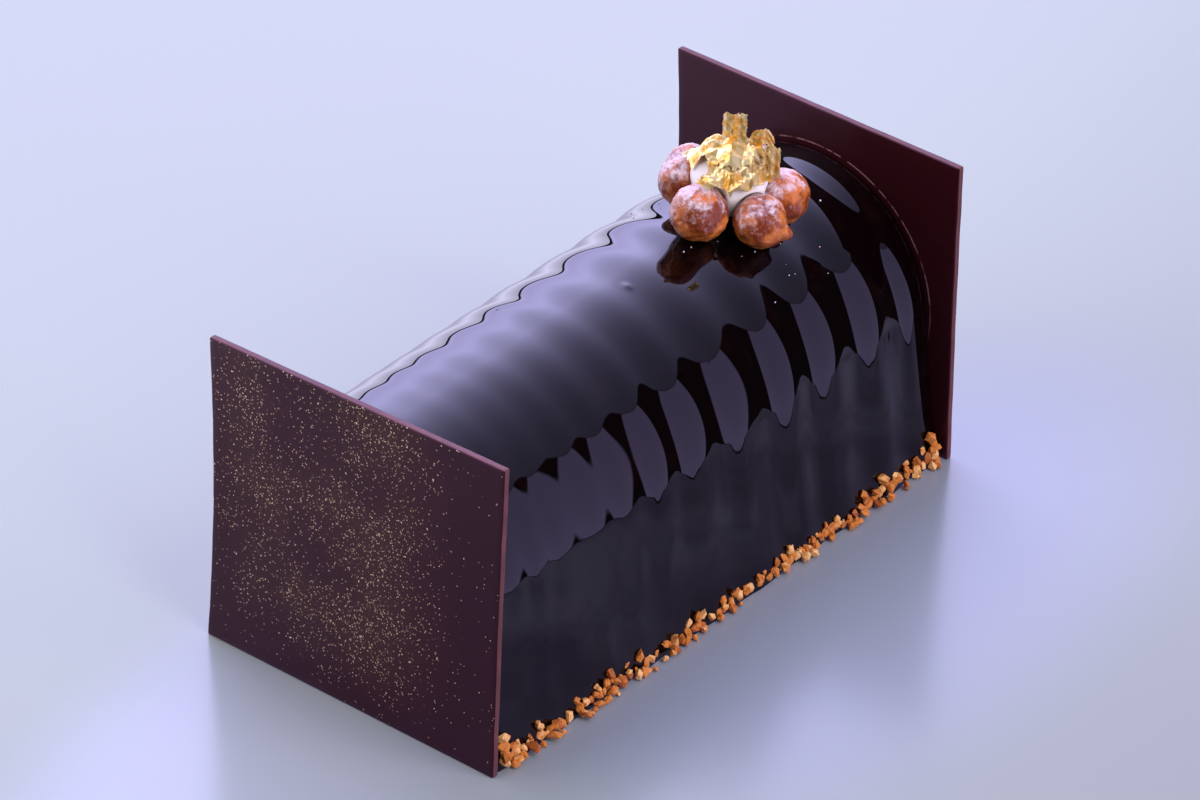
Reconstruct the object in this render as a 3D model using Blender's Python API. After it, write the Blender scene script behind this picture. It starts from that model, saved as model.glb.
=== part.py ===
"""Glazed log cake between two chocolate plates, with a ring of candied nuts, cream and gold leaf on top.

Metres, +Z up. X runs across the log, +Y along it from the front plate to the rear plate.
The origin is at the middle of the box that holds the whole cake, on the surface it stands on.
"""

import math
import random

import bmesh
import bpy
from mathutils import Euler, Vector, noise

MM = 0.001
GAP = 0.3 * MM

# Chocolate plates: cut a little out of square, each stands on its lower edge against one end of the log
LENGTH = 191.3 * MM
PLATE_THICK = 2.1 * MM
PLATE_HALF = 48.3 * MM
PLATE_EDGE_ROUND = 0.5 * MM
FRONT_PLATE = {
    "bottom": (-PLATE_HALF, 46.5 * MM),
    "top": (-46.6 * MM, PLATE_HALF),
    "height": (91.0 * MM, 92.8 * MM),
    "bow": (1.5 * MM, 0.3 * MM),
}
REAR_PLATE = {
    "bottom": (-47.9 * MM, PLATE_HALF),
    "top": (-47.6 * MM, 45.9 * MM),
    "height": (91.2 * MM, 90.4 * MM),
    "bow": (1.8 * MM, 0.3 * MM),
}

# Log: an upturned U with sides that lean out to the foot
LOG_RADIUS = 39.6 * MM
ARC_CENTRE_Z = 40.0 * MM
SIDE_LEAN = math.radians(7.5)
LOG_HALF = LENGTH / 2 - PLATE_THICK - GAP
END_ROUND = 3.0 * MM
END_INSET = 0.6 * MM
SWELL = 0.9 * MM
FOOT_FLARE = 1.2 * MM
FLARE_TOP = 14.0 * MM
ARC_STEPS = 22
SIDE_HEIGHTS = (0.0, 0.11, 0.22, 0.33, 0.66)

# Grooves of the glaze, measured from the front plate's outer face. The glaze swells between each two,
# hardly at all at the front, and to its full height from RIB_FULL on
GROOVES = [y * MM for y in (1, 12, 22, 32, 43, 55.5, 69, 83, 100.5, 120.5, 138.5, 157, 176, 190)]
RIB_FRONT = 0.08 * MM
RIB_REAR = 0.76 * MM
RIB_START = 25.0 * MM
RIB_FULL = 150.0 * MM
STEPS_PER_RIB = 5

# Chopped nuts in a rough row along both feet, with more of them in clumps, each given by the distance of
# its middle from the front plate's outer face, its half length and its number of pieces
CHIPS_IN_ROW = 60
CHIP_CLUMPS = [
    (15 * MM, 9 * MM, 5),
    (53 * MM, 8 * MM, 6),
    (122 * MM, 6 * MM, 3),
    (158 * MM, 8 * MM, 4),
    (178 * MM, 8 * MM, 5),
]
CHIPS_IN_CORNER = 5
CORNER_DEPTH = (2.6 * MM, 4.2 * MM)
CORNER_OUT = (0.2 * MM, 1.6 * MM)
CORNER_RISE = 8.0 * MM
CHIP_RADIUS = (1.5 * MM, 2.25 * MM)
CHIP_POINTS = 9
CHIP_ROUGH = 0.3
CHIP_OUT = (-0.8 * MM, 0.5 * MM)
CLUMP_OUT = (1.2 * MM, 2.7 * MM)
CHIP_LIFT = 0.15 * MM
CHIP_SPAN = LOG_HALF - 2.6 * MM

# Candied nuts: place across and along the log from the front plate's outer face, and radius
NUTS = [
    (4.0 * MM, 131.6 * MM, 8.1 * MM),
    (13.8 * MM, 142.7 * MM, 7.6 * MM),
    (11.7 * MM, 155.4 * MM, 7.9 * MM),
    (0.0 * MM, 161.3 * MM, 6.8 * MM),
    (-12.6 * MM, 152.9 * MM, 6.6 * MM),
    (-8.0 * MM, 143.4 * MM, 7.2 * MM),
]
NUT_SEGMENTS = 14
NUT_RINGS = 9
NUT_LUMP = 0.07

# Cream: one round dollop in the middle of the ring
CREAM_X = 2.8 * MM
CREAM_Y = 147.6 * MM
CREAM_RADIUS = 10.6 * MM
CREAM_BASE = 80.8 * MM
CREAM_TOP = 98.0 * MM
CREAM_FOOT = 0.62
CREAM_SEGMENTS = 20
CREAM_RINGS = 12

# Gold leaf: a crumpled sheet draped over the cream, with an upright tab, a rounded crest and a flap on it.
# The sheet reaches this far (mm) from the cream's axis at each angle (degrees), measured from +X towards +Y
LEAF_THICK = 0.35 * MM
LEAF_CLEAR = 0.45 * MM
LEAF_OUTLINE = [
    (-180, 10.5),
    (-156, 12.8),
    (-138, 10.2),
    (-118, 7.4),
    (-101, 7.8),
    (-92, 11.2),
    (-84, 17.0),
    (-80, 17.9),
    (-74, 16.8),
    (-66, 15.0),
    (-55, 11.0),
    (-8, 10.8),
    (20, 12.0),
    (60, 10.5),
    (120, 9.8),
    (180, 10.5),
]
LEAF_SPREAD = 18.0 * MM
LEAF_CELLS = 22
LEAF_CREASES = [(25, 6.2, 1.5), (-50, 3.9, 0.9), (80, 2.6, 0.5)]
LEAF_BEND = 0.35
LEAF_DROP = 6.0 * MM
# Behind and at the left it is pulled taut, as a cone, but it hugs the cream on the side that faces LEAF_FRONT.
# Its creases lie flatter beyond LEAF_CALM
TAUT_TOP = 99.4 * MM
TAUT_SLOPE = 0.55
TAUT_DIP = 7.0 * MM
LEAF_FRONT = math.radians(-52)
LEAF_CALM = (9.0 * MM, 15.0 * MM, 0.25)
STANDING_LEAVES = {
    "gold_leaf_tab": {"x": 3.0, "y": 147.9, "width": 6.6, "top": 109.6, "round": 0.0, "turn": 38},
    "gold_leaf_crest": {"x": 8.0, "y": 152.6, "width": 7.0, "top": 105.0, "round": 3.2, "turn": 52},
    "gold_leaf_flap": {"x": 14.6, "y": 149.4, "width": 4.4, "top": 103.6, "round": 0.6, "turn": 30},
}
STANDING_COLUMNS = 6
STANDING_ROWS = 6
STANDING_SPREAD = 1.3 * MM

SEED = 11


def remove_start_objects():
    for obj in list(bpy.data.objects):
        bpy.data.objects.remove(obj)


def principled(name, colour, roughness, metallic=0.0):
    material = bpy.data.materials.new(name)
    material.use_nodes = True
    shader = material.node_tree.nodes["Principled BSDF"]
    shader.inputs["Base Color"].default_value = (*colour, 1.0)
    shader.inputs["Roughness"].default_value = roughness
    shader.inputs["Metallic"].default_value = metallic
    return material


def object_from(name, bm, material):
    mesh = bpy.data.meshes.new(name)
    bm.to_mesh(mesh)
    bm.free()
    mesh.materials.append(material)
    obj = bpy.data.objects.new(name, mesh)
    bpy.context.scene.collection.objects.link(obj)
    return obj


def shade(obj, angle):
    obj.data.shade_smooth()
    obj.data.set_sharp_from_angle(angle=math.radians(angle))


def from_front(y):
    """A distance from the front plate's outer face as a world Y."""
    return y - LENGTH / 2


def make_plate(name, shape, y_outer, inward, material):
    """A thin slab: an upright outline with slightly hollow side edges, extruded towards the log."""
    steps = 8
    outline = []
    for side, order in ((1, range(steps + 1)), (0, range(steps, -1, -1))):
        for i in order:
            u = i / steps
            straight = shape["bottom"][side] * (1 - u) + shape["top"][side] * u
            bow = shape["bow"][side] * math.sin(math.pi * u)
            x = straight - bow if side else straight + bow
            outline.append((x, shape["height"][side] * u))
    bm = bmesh.new()
    face = bm.faces.new([bm.verts.new((x, y_outer, z)) for x, z in outline])
    made = bmesh.ops.extrude_face_region(bm, geom=[face])
    moved = [item for item in made["geom"] if isinstance(item, bmesh.types.BMVert)]
    bmesh.ops.translate(bm, vec=(0, inward * PLATE_THICK, 0), verts=moved)
    bmesh.ops.recalc_face_normals(bm, faces=bm.faces)
    plate = object_from(name, bm, material)
    edge = plate.modifiers.new("Soft edge", "BEVEL")
    edge.width = PLATE_EDGE_ROUND
    edge.segments = 1
    edge.limit_method = "ANGLE"
    edge.angle_limit = math.radians(40)
    return plate


def rib_at(y):
    """How far the glaze swells at this world Y: none in a groove, a rounded crest between two."""
    along = y + LENGTH / 2
    growth = min(1.0, max(0.0, (along - RIB_START) / (RIB_FULL - RIB_START)))
    depth = RIB_FRONT + (RIB_REAR - RIB_FRONT) * growth**2 * (3 - 2 * growth)
    for start, end in zip(GROOVES, GROOVES[1:]):
        if start <= along <= end:
            u = (along - start) / (end - start)
            return depth * (1 - math.cos(2 * math.pi * u)) / 2
    return 0.0


def end_inset(y):
    """How far the rounded end of the glaze is drawn in at this world Y."""
    u = (LOG_HALF - abs(y)) / END_ROUND
    if u >= 1:
        return 0.0
    return END_INSET * (1 - math.sqrt(max(0.0, 1 - (1 - u) ** 2)))


def log_radius(y):
    """The arc's radius: a little slimmer towards the front, as the whole log is hand made."""
    along = (y + LOG_HALF) / (2 * LOG_HALF)
    swell = SWELL * math.sin(math.pi * min(1.0, along * 0.85 + 0.1)) - SWELL
    return LOG_RADIUS + swell + rib_at(y) - end_inset(y)


def side_x(y, z):
    """The right-hand side's distance from the middle at a height below the arc. The glaze pools at the foot."""
    radius = log_radius(y)
    tangent_z = ARC_CENTRE_Z + radius * math.sin(SIDE_LEAN)
    flare = FOOT_FLARE * max(0.0, 1 - z / FLARE_TOP) ** 1.5
    return radius * math.cos(SIDE_LEAN) + (tangent_z - z) * math.tan(SIDE_LEAN) + flare


def log_outline(y):
    """Points (x, z) of the section from the right foot over the top to the left foot."""
    radius = log_radius(y)
    tangent_z = ARC_CENTRE_Z + radius * math.sin(SIDE_LEAN)
    right = []
    for u in SIDE_HEIGHTS:
        right.append((side_x(y, tangent_z * u), tangent_z * u))
    arc = []
    for i in range(ARC_STEPS + 1):
        angle = SIDE_LEAN + (math.pi - 2 * SIDE_LEAN) * i / ARC_STEPS
        arc.append((radius * math.cos(angle), ARC_CENTRE_Z + radius * math.sin(angle)))
    left = [(-x, z) for x, z in reversed(right)]
    return right + arc + left


def log_stations():
    """World Y of each ring: several to a rib, closer together on the rounded ends."""
    stations = {-LOG_HALF, LOG_HALF}
    for u in (0.12, 0.35, 0.7):
        stations |= {-LOG_HALF + u * END_ROUND, LOG_HALF - u * END_ROUND}
    for start, end in zip(GROOVES, GROOVES[1:]):
        for i in range(STEPS_PER_RIB):
            y = from_front(start + (end - start) * i / STEPS_PER_RIB)
            if abs(y) < LOG_HALF - END_ROUND:
                stations.add(y)
    return sorted(stations)


def make_log(material):
    bm = bmesh.new()
    rings = []
    for y in log_stations():
        rings.append([bm.verts.new((x, y, z)) for x, z in log_outline(y)])
    for near, far in zip(rings, rings[1:]):
        for i in range(len(near)):
            j = (i + 1) % len(near)
            bm.faces.new((near[i], near[j], far[j], far[i]))
    bm.faces.new(reversed(rings[0]))
    bm.faces.new(rings[-1])
    bmesh.ops.recalc_face_normals(bm, faces=bm.faces)
    return object_from("cake_log", bm, material)


def chip_object(name, centre, radius, rng, material):
    """One chopped piece: the hull of a few points on a stretched ball, turned at random."""
    bm = bmesh.new()
    turn = Euler([rng.uniform(0, math.pi) for _ in range(3)]).to_matrix()
    stretch = (rng.uniform(1.0, 1.5), rng.uniform(0.75, 1.05), rng.uniform(0.65, 0.95))
    spiral = rng.uniform(0, 2 * math.pi)
    for k in range(CHIP_POINTS):
        height = 1 - 2 * (k + 0.5) / CHIP_POINTS
        angle = spiral + k * math.pi * (3 - math.sqrt(5))
        flat = math.sqrt(1 - height**2)
        push = radius * (1 - rng.uniform(0, CHIP_ROUGH))
        way = Vector((flat * math.cos(angle), flat * math.sin(angle), height)) * Vector(stretch)
        point = turn @ way * push + centre
        point.z = max(point.z, CHIP_LIFT * rng.uniform(1, 2))
        bm.verts.new(point)
    hull = bmesh.ops.convex_hull(bm, input=bm.verts)
    bmesh.ops.delete(bm, geom=hull["geom_interior"] + hull["geom_unused"], context="VERTS")
    bmesh.ops.recalc_face_normals(bm, faces=bm.faces)
    return object_from(name, bm, material)


def chip_places(side, rng):
    """Centre and radius of each chopped piece at one foot: the row, its clumps and a heap in each corner."""
    reach = LOG_HALF - CHIP_RADIUS[1] * 1.5
    for i in range(CHIPS_IN_ROW):
        radius = rng.uniform(*CHIP_RADIUS)
        y = -reach + 2 * reach * (i + rng.uniform(0.2, 0.8)) / CHIPS_IN_ROW
        z = radius * rng.uniform(0.8, 1.1)
        yield Vector((side * (side_x(y, z) + rng.uniform(*CHIP_OUT)), y, z)), radius
    for middle, half, count in CHIP_CLUMPS:
        for i in range(count):
            radius = rng.uniform(*CHIP_RADIUS)
            y = from_front(middle + half * (2 * (i + rng.uniform(0.2, 0.8)) / count - 1))
            z = radius * rng.uniform(0.8, 1.1)
            x = side_x(y, z) + rng.uniform(*CLUMP_OUT)
            if i % 2:
                z += CHIP_RADIUS[1] * rng.uniform(1.0, 1.7)
                x = side_x(y, z) + rng.uniform(*CHIP_OUT)
            yield Vector((side * x, y, z)), radius
    for end in (-1, 1):
        for i in range(CHIPS_IN_CORNER):
            radius = rng.uniform(*CHIP_RADIUS)
            y = end * (LOG_HALF - rng.uniform(*CORNER_DEPTH))
            z = radius + CORNER_RISE * i / CHIPS_IN_CORNER
            x = side_x(y, z) + rng.uniform(*CORNER_OUT)
            yield Vector((side * x, y, z)), radius


def make_chips(material, collection):
    rng = random.Random(SEED)
    for side in (1, -1):
        for number, (centre, radius) in enumerate(chip_places(side, rng)):
            centre.y = min(max(centre.y, -CHIP_SPAN), CHIP_SPAN)
            chip = chip_object(f"chip_{side}_{number}", centre, radius, rng, material)
            bpy.context.scene.collection.objects.unlink(chip)
            collection.objects.link(chip)


def fuse(target, collection):
    """Joins everything in the collection to the target as one solid, then removes the loose copies."""
    union = target.modifiers.new("Fuse", "BOOLEAN")
    union.operation = "UNION"
    union.operand_type = "COLLECTION"
    union.collection = collection
    union.solver = "EXACT"
    apply_modifiers(target)
    for obj in list(collection.objects):
        bpy.data.objects.remove(obj)
    bpy.data.collections.remove(collection)


def apply_modifiers(obj):
    bpy.context.view_layer.update()
    graph = bpy.context.evaluated_depsgraph_get()
    solid = bpy.data.meshes.new_from_object(obj.evaluated_get(graph))
    obj.modifiers.clear()
    obj.data = solid


def drop_scrap(obj):
    """Keeps the largest connected body of the mesh."""
    bm = bmesh.new()
    bm.from_mesh(obj.data)
    left = set(bm.verts)
    bodies = []
    while left:
        body = {left.pop()}
        frontier = list(body)
        while frontier:
            vert = frontier.pop()
            for edge in vert.link_edges:
                other = edge.other_vert(vert)
                if other not in body:
                    body.add(other)
                    frontier.append(other)
        left -= body
        bodies.append(body)
    bodies.sort(key=len)
    for body in bodies[:-1]:
        bmesh.ops.delete(bm, geom=list(body), context="VERTS")
    bm.to_mesh(obj.data)
    bm.free()


def above_log(point):
    """Distance of a point from the log's arc, in the section through it."""
    return math.hypot(point.x, point.z - ARC_CENTRE_Z) - log_radius(point.y)


def nut_centre(x, y, radius):
    """The middle of a nut that stands on the glaze straight out from the log's axis."""
    outward = Vector((x, 0, math.sqrt(LOG_RADIUS**2 - x**2))).normalized()
    return Vector((0, y, ARC_CENTRE_Z)) + outward * (LOG_RADIUS + radius), outward


def press_flat(bm, number):
    """Flattens a nut where its neighbours press on it, half the gap before the plane between the two."""
    x, along, radius = NUTS[number]
    centre, _ = nut_centre(x, from_front(along), radius)
    for other, (other_x, other_along, other_radius) in enumerate(NUTS):
        if other == number:
            continue
        other_centre, _ = nut_centre(other_x, from_front(other_along), other_radius)
        apart = (other_centre - centre).length
        way = (other_centre - centre) / apart
        reach = (apart**2 + radius**2 - other_radius**2) / (2 * apart)
        for vert in bm.verts:
            past = (vert.co - centre).dot(way) - reach + GAP / 2
            if past > 0:
                vert.co -= way * past


def nut_mesh(number, grow=0.0):
    """A lumpy nut that rests just clear of the glaze. grow makes a larger copy round the same middle."""
    x, along, radius = NUTS[number]
    rng = random.Random(SEED + number + 1)
    offset = Vector([rng.uniform(0, 50) for _ in range(3)])
    bm = bmesh.new()
    bmesh.ops.create_uvsphere(bm, u_segments=NUT_SEGMENTS, v_segments=NUT_RINGS, radius=1.0)
    for vert in bm.verts:
        lump = noise.noise(vert.co * 1.6 + offset)
        vert.co *= radius * (1 - NUT_LUMP + NUT_LUMP * lump)
    centre, outward = nut_centre(x, from_front(along), radius)
    low = min(above_log(centre + vert.co) for vert in bm.verts)
    centre -= outward * (low - GAP)
    for vert in bm.verts:
        vert.co = centre + vert.co * (1 + grow / radius)
    if not grow:
        press_flat(bm, number)
    return bm


def make_nuts(material):
    for number in range(len(NUTS)):
        nut = object_from(f"nut_{number + 1}", nut_mesh(number), material)
        shade(nut, 60)


def cream_radius(u):
    """The dollop's radius at u from its foot (0) to its top (1)."""
    foot = CREAM_FOOT + (1 - CREAM_FOOT) * math.sin(math.pi / 2 * min(1.0, u / 0.5))
    return CREAM_RADIUS * foot * math.sqrt(max(0.0, 1 - max(0.0, (u - 0.5) / 0.5) ** 2.4))


def cream_top(x, y):
    """Height of the dollop's upper side above a place, or of its widest ring beyond it."""
    r = min(1.0, math.hypot(x - CREAM_X, y - from_front(CREAM_Y)) / CREAM_RADIUS)
    u = 0.5 + 0.5 * (1 - r**2) ** (1 / 2.4)
    return CREAM_BASE + (CREAM_TOP - CREAM_BASE) * u


def make_cream(material):
    """A turned dollop, cut to lie clear of the nuts that it is pressed between."""
    bm = bmesh.new()
    centre_y = from_front(CREAM_Y)
    rings = []
    for i in range(CREAM_RINGS):
        u = (1 - math.cos(math.pi * (i + 0.4) / (CREAM_RINGS - 0.2))) / 2
        z = CREAM_BASE + (CREAM_TOP - CREAM_BASE) * u
        ring = []
        for j in range(CREAM_SEGMENTS):
            angle = 2 * math.pi * j / CREAM_SEGMENTS
            r = cream_radius(u)
            ring.append(bm.verts.new((CREAM_X + r * math.cos(angle), centre_y + r * math.sin(angle), z)))
        rings.append(ring)
    for lower, upper in zip(rings, rings[1:]):
        for j in range(CREAM_SEGMENTS):
            k = (j + 1) % CREAM_SEGMENTS
            bm.faces.new((lower[j], lower[k], upper[k], upper[j]))
    bm.faces.new(reversed(rings[0]))
    bm.faces.new(rings[-1])
    cream = object_from("cream", bm, material)
    cutters = bpy.data.collections.new("Nut cutters")
    bpy.context.scene.collection.children.link(cutters)
    for number in range(len(NUTS)):
        cutter = object_from(f"nut_cutter_{number + 1}", nut_mesh(number, grow=1.2 * GAP), material)
        bpy.context.scene.collection.objects.unlink(cutter)
        cutters.objects.link(cutter)
        cutter.hide_render = True
        cutter.display_type = "WIRE"
    cut = cream.modifiers.new("Nuts", "BOOLEAN")
    cut.operation = "DIFFERENCE"
    cut.operand_type = "COLLECTION"
    cut.collection = cutters
    cut.solver = "EXACT"
    apply_modifiers(cream)
    for obj in list(cutters.objects):
        bpy.data.objects.remove(obj)
    bpy.data.collections.remove(cutters)
    drop_scrap(cream)
    shade(cream, 50)


def nut_top(x, y):
    """Height of the nuts above a place, or nothing where there is none."""
    top = 0.0
    for nut_x, along, radius in NUTS:
        centre, _ = nut_centre(nut_x, from_front(along), radius)
        off = math.hypot(x - centre.x, y - centre.y)
        if off < radius:
            top = max(top, centre.z + math.sqrt(radius**2 - off**2))
    return top


def folded(value):
    """A zigzag between 0 and 1, for a surface folded flat and sharp."""
    return 2 * abs(value - math.floor(value) - 0.5)


def crumple(x, y):
    """How far the creases lift the leaf at a place: zigzags that cross, each with its length and height (mm)."""
    lift = 0.0
    for degrees, length, height in LEAF_CREASES:
        angle = math.radians(degrees)
        bend = LEAF_BEND * noise.noise(Vector((x, y, degrees * MM)) / (2 * length * MM))
        lift += height * MM * folded((x * math.cos(angle) + y * math.sin(angle)) / (length * MM) + bend)
    return lift


def leaf_height(x, y):
    """Upper side of the draped gold leaf: over cream and nuts, falling a little beyond the cream's edge."""
    r = math.hypot(x - CREAM_X, y - from_front(CREAM_Y))
    angle = math.atan2(y - from_front(CREAM_Y), x - CREAM_X)
    fall = LEAF_DROP * max(0.0, r / CREAM_RADIUS - 0.8) ** 2
    taut = TAUT_TOP - TAUT_SLOPE * r - TAUT_DIP * max(0.0, math.cos(angle - LEAF_FRONT))
    under = max(cream_top(x, y) - fall, nut_top(x, y), taut)
    calm_from, calm_to, calmest = LEAF_CALM
    calm = min(1.0, max(0.0, (r - calm_from) / (calm_to - calm_from)))
    return under + LEAF_CLEAR + LEAF_THICK + crumple(x, y) * (1 - (1 - calmest) * calm)


def leaf_reach(angle):
    """How far the draped leaf's torn edge lies from the cream's axis."""
    degrees = math.degrees(angle)
    for (start, low), (end, high) in zip(LEAF_OUTLINE, LEAF_OUTLINE[1:]):
        if start <= degrees <= end:
            return (low + (high - low) * (degrees - start) / (end - start)) * MM
    return LEAF_OUTLINE[0][1] * MM


def leaf_solid(name, columns, rows, place, inside, material):
    """A thin solid from a grid. place gives the (outer, inner) points of a corner, and both sides split alike."""
    bm = bmesh.new()
    outer = {}
    inner = {}
    cells = [(i, j) for i in range(columns) for j in range(rows) if inside(i, j)]
    for i, j in cells:
        for corner in ((i, j), (i + 1, j), (i + 1, j + 1), (i, j + 1)):
            if corner not in outer:
                upper, lower = place(*corner)
                outer[corner] = bm.verts.new(upper)
                inner[corner] = bm.verts.new(lower)
    for i, j in cells:
        a, b, c, d = (i, j), (i + 1, j), (i + 1, j + 1), (i, j + 1)
        halves = ((a, b, c), (a, c, d)) if (i + j) % 2 else ((a, b, d), (b, c, d))
        for half in halves:
            bm.faces.new([outer[corner] for corner in half])
            bm.faces.new([inner[corner] for corner in reversed(half)])
    corners = {vert: corner for corner, vert in outer.items()}
    rim = [edge for edge in bm.edges if len(edge.link_faces) == 1 and edge.verts[0] in corners]
    for edge in rim:
        loop = edge.link_loops[0]
        first, second = loop.vert, loop.link_loop_next.vert
        low_first, low_second = inner[corners[first]], inner[corners[second]]
        bm.faces.new((second, first, low_first))
        bm.faces.new((second, low_first, low_second))
    bmesh.ops.recalc_face_normals(bm, faces=bm.faces)
    return object_from(name, bm, material)


def make_draped_leaf(material):
    step = 2 * LEAF_SPREAD / LEAF_CELLS

    def corner_xy(i, j):
        x = CREAM_X - LEAF_SPREAD + i * step
        y = from_front(CREAM_Y) - LEAF_SPREAD + j * step
        return x, y

    def place(i, j):
        x, y = corner_xy(i, j)
        top = leaf_height(x, y)
        return (x, y, top), (x, y, top - LEAF_THICK)

    def inside(i, j):
        x, y = corner_xy(i + 0.5, j + 0.5)
        angle = math.atan2(y - from_front(CREAM_Y), x - CREAM_X)
        return math.hypot(x - CREAM_X, y - from_front(CREAM_Y)) < leaf_reach(angle)

    return leaf_solid("gold_leaf", LEAF_CELLS, LEAF_CELLS, place, inside, material)


def make_standing_leaf(name, shape, material):
    """A piece of leaf that stands on the draped sheet, folded across its width, with a straight or round top."""
    turn = math.radians(shape["turn"])
    across = Vector((math.cos(turn), math.sin(turn), 0))
    facing = Vector((math.sin(turn), -math.cos(turn), 0))
    middle = Vector((shape["x"] * MM, from_front(shape["y"] * MM), 0))

    def spot(i):
        return middle + across * shape["width"] * MM * (i / STANDING_COLUMNS - 0.5)

    def low_edge(i):
        here = spot(i)
        heights = []
        for step_x in (-STANDING_SPREAD, 0, STANDING_SPREAD):
            for step_y in (-STANDING_SPREAD, 0, STANDING_SPREAD):
                heights.append(leaf_height(here.x + step_x, here.y + step_y))
        return max(heights) + 2 * GAP

    def place(i, j):
        low = low_edge(i)
        off = 2 * i / STANDING_COLUMNS - 1
        top = (shape["top"] - shape["round"] * off**2) * MM
        z = low + (top - low) * j / STANDING_ROWS
        fold = 1.0 * MM * folded(i * 0.31 + 0.15) + 0.5 * MM * folded(j * 0.42 + i * 0.2)
        outer = spot(i) + facing * (fold + LEAF_THICK)
        inner = spot(i) + facing * fold
        return (outer.x, outer.y, z), (inner.x, inner.y, z)

    return leaf_solid(name, STANDING_COLUMNS, STANDING_ROWS, place, lambda i, j: True, material)


def main():
    remove_start_objects()
    glaze = principled("Dark glaze", (0.012, 0.007, 0.009), 0.06)
    chocolate = principled("Dark chocolate", (0.035, 0.013, 0.014), 0.35)
    candied = principled("Candied nut", (0.42, 0.14, 0.045), 0.3)
    cream_white = principled("Cream", (0.82, 0.76, 0.68), 0.45)
    gold = principled("Gold leaf", (0.83, 0.58, 0.22), 0.22, metallic=1.0)

    make_plate("front_plate", FRONT_PLATE, -LENGTH / 2, 1, chocolate)
    make_plate("rear_plate", REAR_PLATE, LENGTH / 2, -1, chocolate)

    log = make_log(glaze)
    chips = bpy.data.collections.new("Chopped nuts")
    bpy.context.scene.collection.children.link(chips)
    make_chips(glaze, chips)
    fuse(log, chips)
    drop_scrap(log)
    shade(log, 35)

    make_nuts(candied)
    make_cream(cream_white)
    make_draped_leaf(gold)
    for name, shape in STANDING_LEAVES.items():
        make_standing_leaf(name, shape, gold)


main()
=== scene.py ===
"""Looks of the glazed log cake: mirror glaze, chocolate plates, chopped and candied nuts, cream, gold leaf.

Metres, +Z up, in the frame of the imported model. +Y runs along the log, from the front plate to the rear one.
"""

import math
import random

import bmesh
import bpy
from mathutils import Euler, Matrix, Vector, noise


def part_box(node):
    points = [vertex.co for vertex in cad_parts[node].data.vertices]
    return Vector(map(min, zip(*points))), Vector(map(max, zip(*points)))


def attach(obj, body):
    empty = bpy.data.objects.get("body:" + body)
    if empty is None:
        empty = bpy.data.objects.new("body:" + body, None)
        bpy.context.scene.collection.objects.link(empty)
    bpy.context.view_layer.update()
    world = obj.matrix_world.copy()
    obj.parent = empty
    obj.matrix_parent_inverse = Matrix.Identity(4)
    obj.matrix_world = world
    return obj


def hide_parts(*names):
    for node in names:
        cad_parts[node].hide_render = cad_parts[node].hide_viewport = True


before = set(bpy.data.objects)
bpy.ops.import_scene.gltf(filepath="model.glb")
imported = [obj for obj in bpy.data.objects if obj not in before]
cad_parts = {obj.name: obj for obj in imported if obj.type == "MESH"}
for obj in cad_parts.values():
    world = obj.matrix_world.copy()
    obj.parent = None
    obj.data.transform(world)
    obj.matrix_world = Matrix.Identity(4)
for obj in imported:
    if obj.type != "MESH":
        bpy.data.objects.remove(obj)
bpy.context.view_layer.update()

# Glazed log: sponge and mousse in the shape of an upturned U, under a poured mirror glaze of dark chocolate.
# The glaze is thick enough to swell between shallow grooves that run over the log. It trickles down the
# sides in faint streaks, and it ends in a rounded lip against each plate.
MM = 0.001
FRONT_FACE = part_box("front_plate")[0][1]
REAR_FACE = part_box("rear_plate")[1][1]
PLATE_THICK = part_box("front_plate")[1][1] - FRONT_FACE
GAP = 0.3 * MM
LOG_RADIUS = 39.6 * MM
ARC_CENTRE_Z = 40.0 * MM
SIDE_LEAN = math.radians(7.5)
LOG_LENGTH = REAR_FACE - FRONT_FACE
LOG_HALF = LOG_LENGTH / 2 - PLATE_THICK - GAP
END_ROUND = 3.0 * MM
END_INSET = 0.6 * MM
SWELL = 0.9 * MM
FOOT_FLARE = 1.2 * MM
FLARE_TOP = 14.0 * MM
GROOVES = [y * MM for y in (1, 12, 22, 32, 43, 55.5, 69, 83, 100.5, 120.5, 138.5, 157, 176, 190)]
RIB_FRONT = 0.08 * MM
RIB_REAR = 0.76 * MM
RIB_START = 25.0 * MM
RIB_FULL = 150.0 * MM
GLAZE_AROUND = 210
GLAZE_ALONG = 430
# How strongly the handmade surface wavers, and over what lengths: the grooves' sway, the streaks down the
# sides with finer ones among them, and the slow unevenness
SWAY = 1.1 * MM
SWAY_WAVE = (23 * MM, 28 * MM)
STREAK = 0.085 * MM
STREAK_WAVE = (6.3 * MM, 48 * MM)
FINE_STREAK = 0.16
FINE_STREAK_WAVE = (2.4 * MM, 30 * MM)
STREAK_TOP = 46 * MM
HANDMADE = 0.14 * MM
HANDMADE_WAVE = 19 * MM
# Small bubbles and pimples in the glaze: angle round the log in degrees, place along it, radius and height
PIMPLES = [
    (82, 101.4 * MM, 1.5 * MM, 0.35 * MM),
    (110, 73.3 * MM, 1.2 * MM, 0.22 * MM),
    (64, 92.0 * MM, 0.5 * MM, 0.12 * MM),
    (38, 104.0 * MM, 0.5 * MM, 0.1 * MM),
    (132, 40.0 * MM, 1.1 * MM, 0.2 * MM),
    (150, 118.0 * MM, 0.8 * MM, 0.15 * MM),
    (28, 44.0 * MM, 0.5 * MM, 0.1 * MM),
]


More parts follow.
